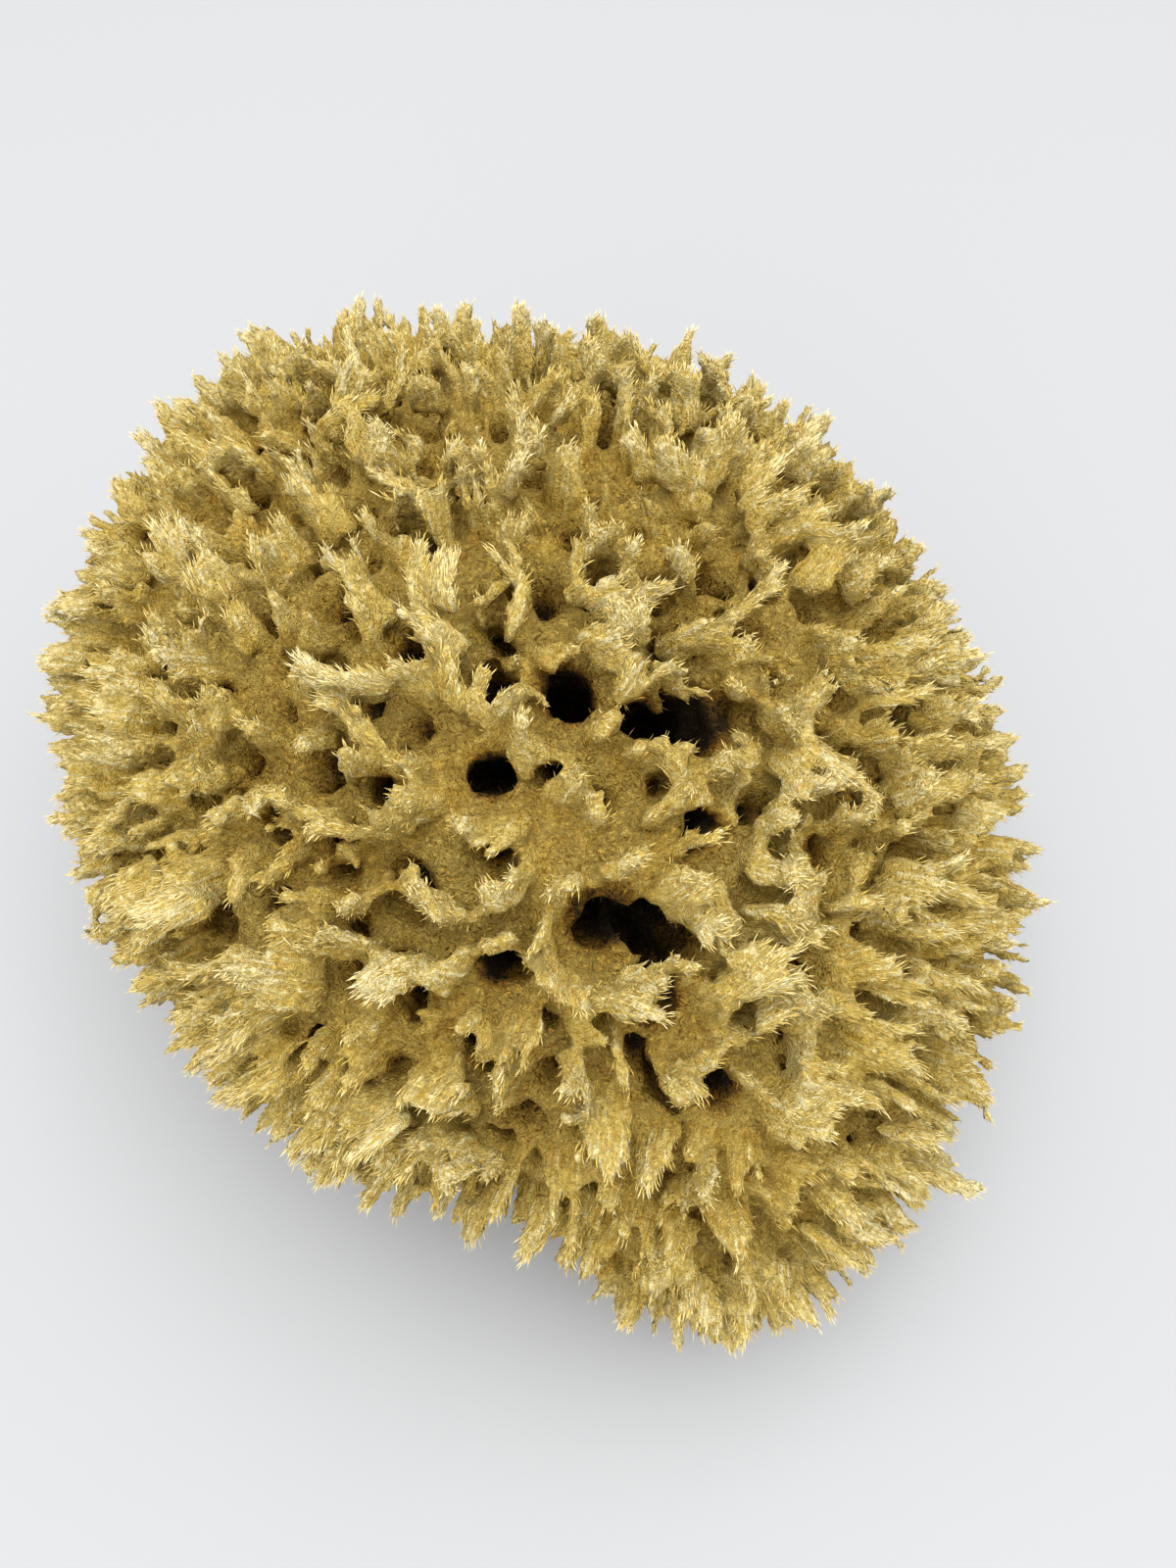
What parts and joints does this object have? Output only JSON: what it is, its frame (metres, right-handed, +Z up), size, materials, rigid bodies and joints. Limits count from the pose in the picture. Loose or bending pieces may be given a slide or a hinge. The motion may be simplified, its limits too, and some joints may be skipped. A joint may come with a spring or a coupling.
{
  "type": "natural sea sponge",
  "caption": "Dried natural sea sponge of the wool type: a tufted, fibrous dome with deep round pores and a flat cut underside, for bathing, cleaning or display.",
  "frame": {"origin": "middle of the bounding box at the flat cut underside, where the sponge rests", "axes": "+Z up out of the cut underside, +Y along the sponge's longest extent, +X to its right as it is looked at from its front, low side"},
  "size_m": [0.171, 0.185, 0.115],
  "materials": {
    "sponge_fibre": "matt felted fibre, straw-coloured at the tuft tips and ochre to dark brown in the pores"
  },
  "bodies": {
    "root": {"sponge": "sponge_fibre"}
  },
  "joints": []
}
